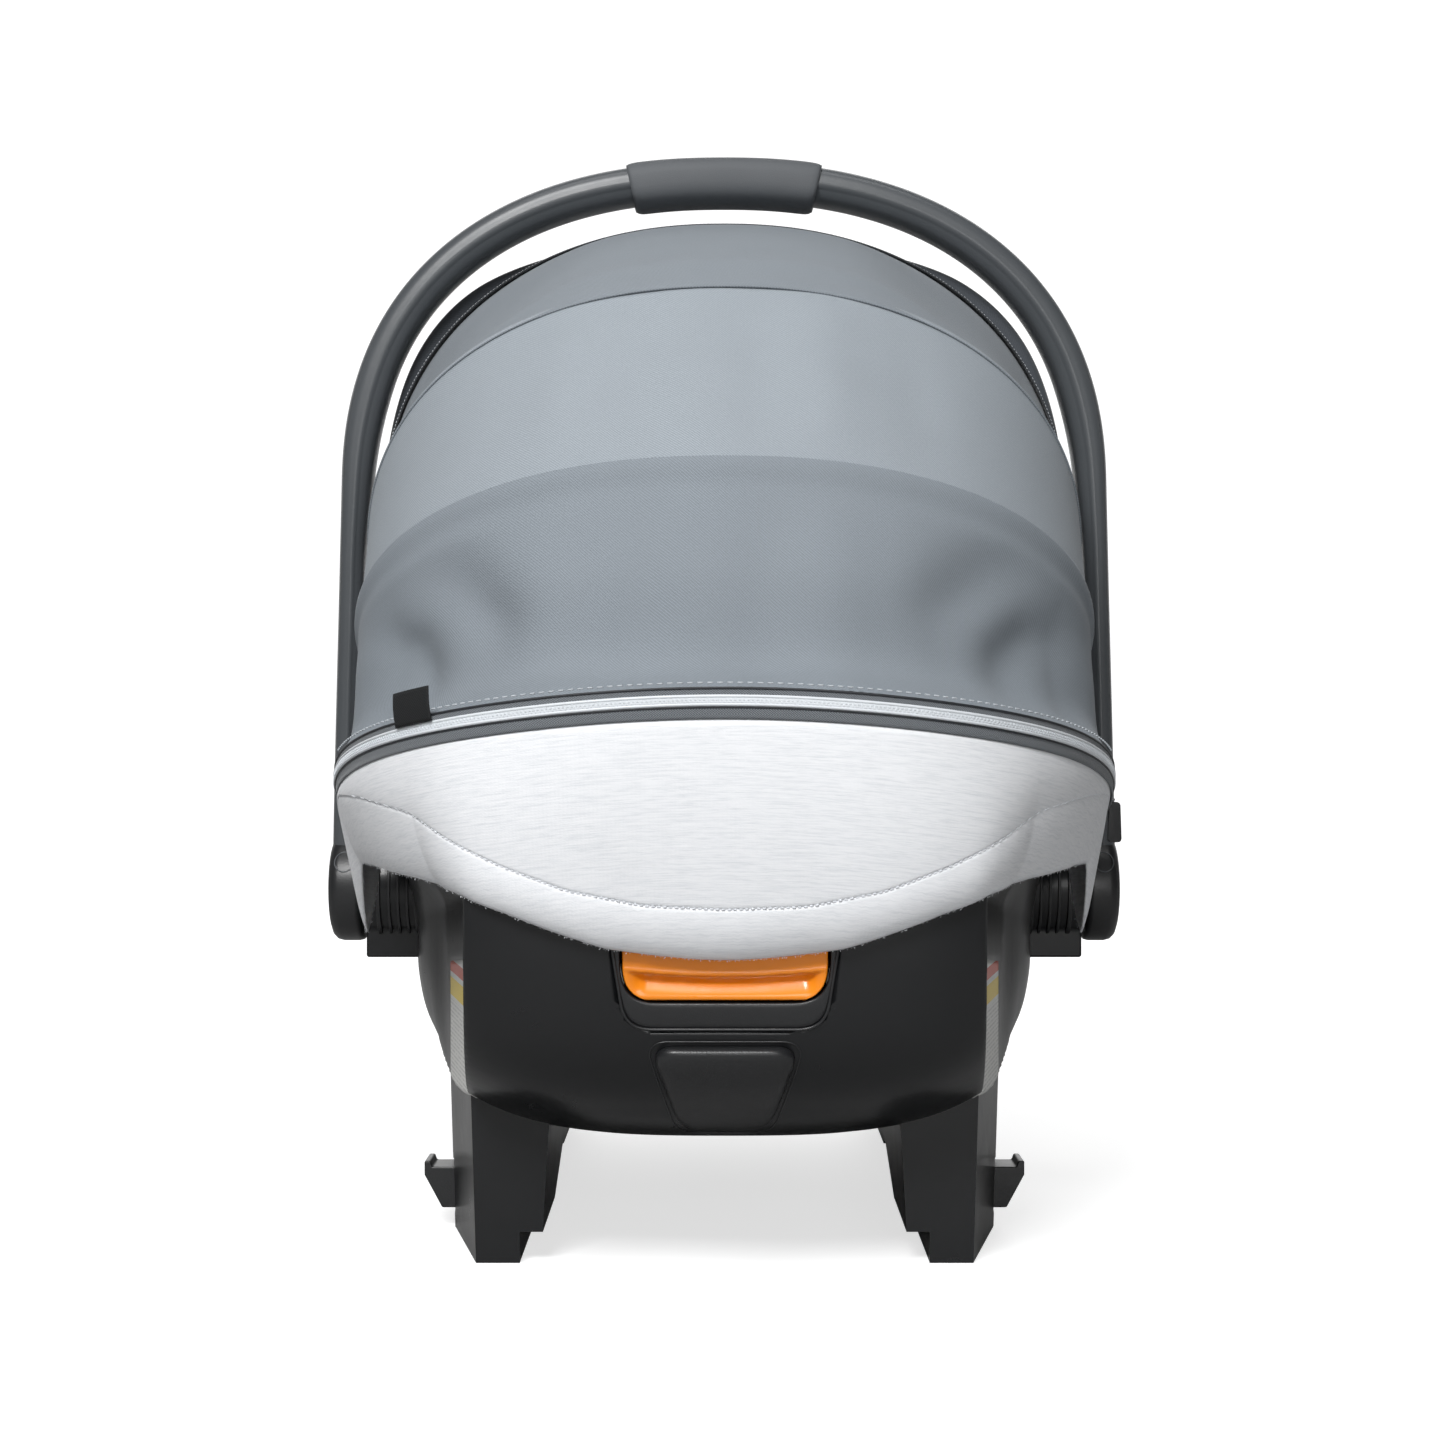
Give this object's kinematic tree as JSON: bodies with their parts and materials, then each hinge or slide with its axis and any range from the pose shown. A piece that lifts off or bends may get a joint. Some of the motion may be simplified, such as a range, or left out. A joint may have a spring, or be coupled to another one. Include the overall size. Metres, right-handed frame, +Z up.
{
  "type": "infant car seat",
  "caption": "Rear-facing infant carrier with folding canopy, swing-over carry handle, padded bucket, harness and release lever.",
  "frame": {"origin": "on the floor below the middle of the carrier", "axes": "+X to the right seen from the head end, +Y from the head end to the foot end, +Z up"},
  "size_m": [0.438, 0.6518, 0.57],
  "materials": {
    "shell_plastic": "moulded black, satin to gloss",
    "trim_plastic": "fine-grained black",
    "handle_plastic": "satin dark grey",
    "grip_rubber": "matte soft-touch",
    "foam": "bead-moulded foam",
    "jersey": "heathered light grey jersey",
    "canopy_twill": "blue-grey twill",
    "visor_fabric": "dark grey binding",
    "zipper": "moulded teeth on woven tape",
    "orange_plastic": "glossy orange",
    "red_plastic": "glossy red",
    "webbing": "woven harness webbing",
    "label_film": "printed film, blank",
    "steel": "zinc plated"
  },
  "bodies": {
    "shell_body": {"shell": "shell_plastic", "foam_liner": "foam", "left_foot_rail": "shell_plastic", "right_foot_rail": "shell_plastic", "lever_bezel": "trim_plastic", "rear_cover": "trim_plastic", "left_side_label": "label_film", "right_side_label": "label_film", "left_belt_guide": "shell_plastic", "right_belt_guide": "shell_plastic", "left_hub_base": "shell_plastic", "right_hub_base": "shell_plastic", "left_pivot_bolt": "steel", "right_pivot_bolt": "steel", "seat_pad": "jersey", "rear_skirt": "jersey", "front_skirt": "jersey", "rear_zipper": "zipper", "zipper_slider": "steel", "canopy_rear_panel": "canopy_twill", "canopy_rear_bow": "trim_plastic", "left_canopy_mount": "trim_plastic", "right_canopy_mount": "trim_plastic", "infant_insert": "jersey", "head_support": "jersey", "left_shoulder_strap": "webbing", "right_shoulder_strap": "webbing", "left_shoulder_pad": "canopy_twill", "right_shoulder_pad": "canopy_twill", "left_chest_clip": "trim_plastic", "right_chest_clip": "trim_plastic", "left_lap_strap": "webbing", "right_lap_strap": "webbing", "left_buckle_tongue": "steel", "right_buckle_tongue": "steel", "crotch_strap": "webbing", "buckle_body": "trim_plastic", "adjuster_housing": "trim_plastic", "adjuster_strap": "webbing"},
    "handle": {"carry_handle": "handle_plastic", "handle_grip": "grip_rubber"},
    "left_handle_button": {"left_release_button": "trim_plastic"},
    "right_handle_button": {"right_release_button": "trim_plastic"},
    "lever": {"release_lever": "orange_plastic"},
    "left_latch": {"left_latch_bolt": "trim_plastic"},
    "right_latch": {"right_latch_bolt": "trim_plastic"},
    "canopy_mid": {"canopy_mid_panel": "canopy_twill", "canopy_mid_bow": "trim_plastic"},
    "canopy_front": {"canopy_front_panel": "canopy_twill", "canopy_front_bow": "trim_plastic", "canopy_visor": "visor_fabric", "canopy_rim_zipper": "zipper"},
    "buckle_release": {"buckle_button": "red_plastic"},
    "adjuster_release": {"adjuster_button": "trim_plastic"}
  },
  "joints": [
    {"name": "handle_pivot", "type": "hinge", "parent": "shell_body", "child": "handle", "pos_m": [0, 0, 0.164], "axis": [1, 0, 0], "range_deg": [-75, 110]},
    {"name": "left_handle_button_press", "type": "slide", "parent": "handle", "child": "left_handle_button", "axis": [1, 0, 0], "range_m": [0, 0.004], "stiffness_N_per_m": 800, "springref_m": -0.002},
    {"name": "right_handle_button_press", "type": "slide", "parent": "handle", "child": "right_handle_button", "axis": [-1, 0, 0], "range_m": [0, 0.004], "stiffness_N_per_m": 800, "springref_m": -0.002},
    {"name": "lever_pull", "type": "slide", "parent": "shell_body", "child": "lever", "axis": [0, 0, 1], "range_m": [0, 0.008], "stiffness_N_per_m": 1500, "springref_m": -0.003},
    {"name": "left_latch_slide", "type": "slide", "parent": "shell_body", "child": "left_latch", "axis": [1, 0, 0], "range_m": [0, 0.01]},
    {"name": "right_latch_slide", "type": "slide", "parent": "shell_body", "child": "right_latch", "axis": [-1, 0, 0], "range_m": [0, 0.01]},
    {"name": "canopy_mid_fold", "type": "hinge", "parent": "shell_body", "child": "canopy_mid", "pos_m": [0, 0, 0.215], "axis": [1, 0, 0], "range_deg": [0, 17]},
    {"name": "canopy_front_fold", "type": "hinge", "parent": "canopy_mid", "child": "canopy_front", "pos_m": [0, 0, 0.215], "axis": [1, 0, 0], "range_deg": [0, 20.4]},
    {"name": "buckle_press", "type": "slide", "parent": "shell_body", "child": "buckle_release", "axis": [0, 0.1504, -0.9886], "range_m": [0, 0.003], "stiffness_N_per_m": 800, "springref_m": -0.002},
    {"name": "adjuster_press", "type": "slide", "parent": "shell_body", "child": "adjuster_release", "axis": [0, 0.4476, -0.8942], "range_m": [0, 0.002], "stiffness_N_per_m": 800, "springref_m": -0.002}
  ],
  "couplings": [
    {"joint": "left_latch_slide", "follows": "lever_pull", "ratio": 1.25},
    {"joint": "right_latch_slide", "follows": "lever_pull", "ratio": 1.25},
    {"joint": "canopy_front_fold", "follows": "canopy_mid_fold", "ratio": 1.2}
  ]
}
